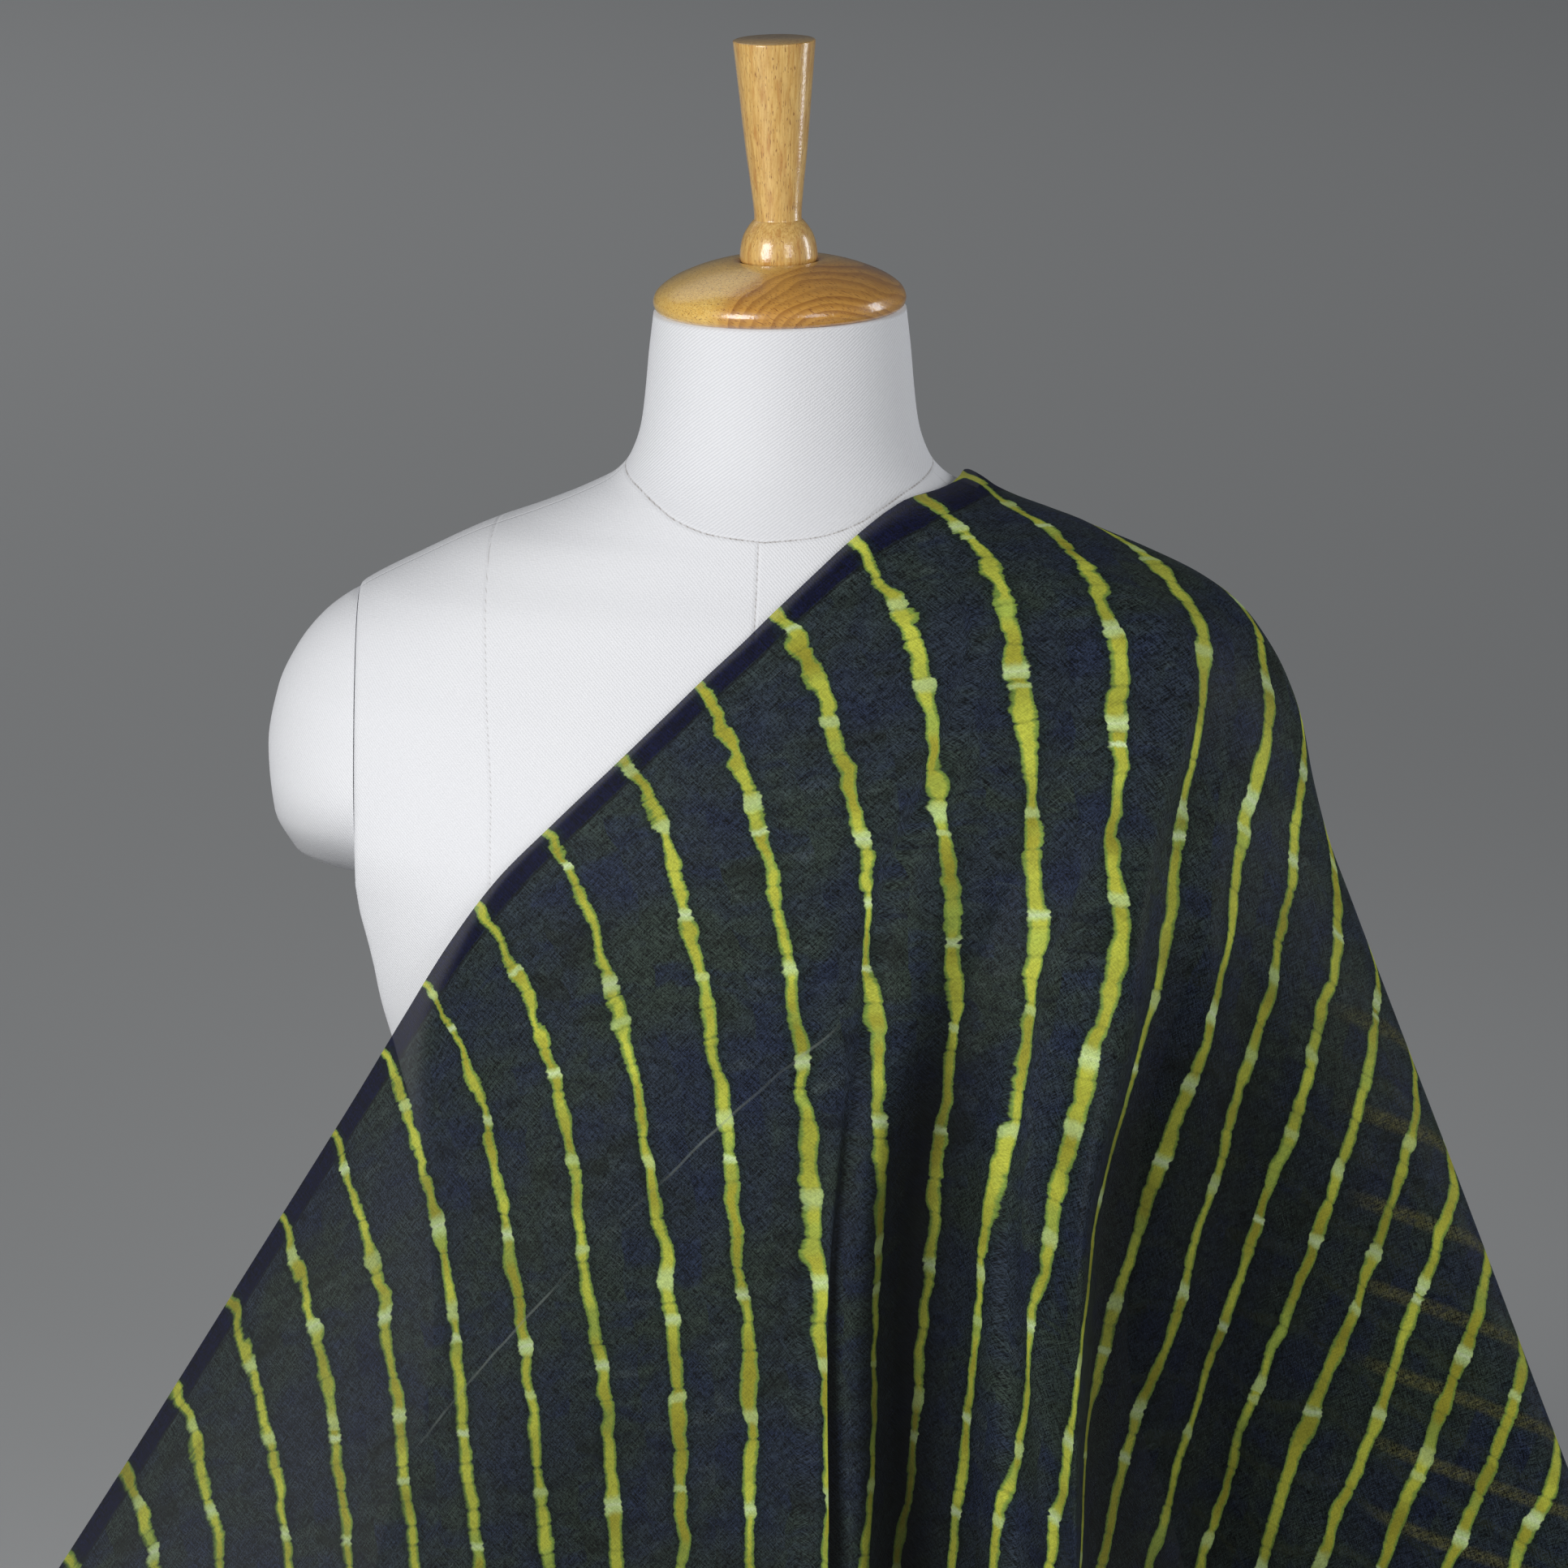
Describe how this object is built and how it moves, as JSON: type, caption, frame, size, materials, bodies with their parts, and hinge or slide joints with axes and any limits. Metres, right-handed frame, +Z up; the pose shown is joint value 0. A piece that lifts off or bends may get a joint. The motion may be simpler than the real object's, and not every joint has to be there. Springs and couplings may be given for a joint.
{
  "type": "leheriya silk fabric draped on a dress form",
  "caption": "Sheer dark silk with wavy yellow-green tie-dyed stripes, draped over the left shoulder of a plain canvas dress form with a turned wooden neck cap and handle",
  "frame": {"origin": "middle of the dress form's flat base, on the surface it stands on", "axes": "+Z up; the form faces -Y; +X is the side whose shoulder carries the cloth"},
  "size_m": [0.7423, 0.3705, 0.7821],
  "materials": {
    "silk": "fine sheer crepe weave, resist-dyed stripes",
    "canvas": "plain white cotton canvas",
    "wood": "turned, clear gloss lacquer"
  },
  "bodies": {
    "root": {"silk_cloth": "silk", "form_torso": "canvas", "arm_pad_right": "canvas", "arm_pad_left": "canvas", "neck_cap": "wood", "finial": "wood"}
  },
  "joints": []
}
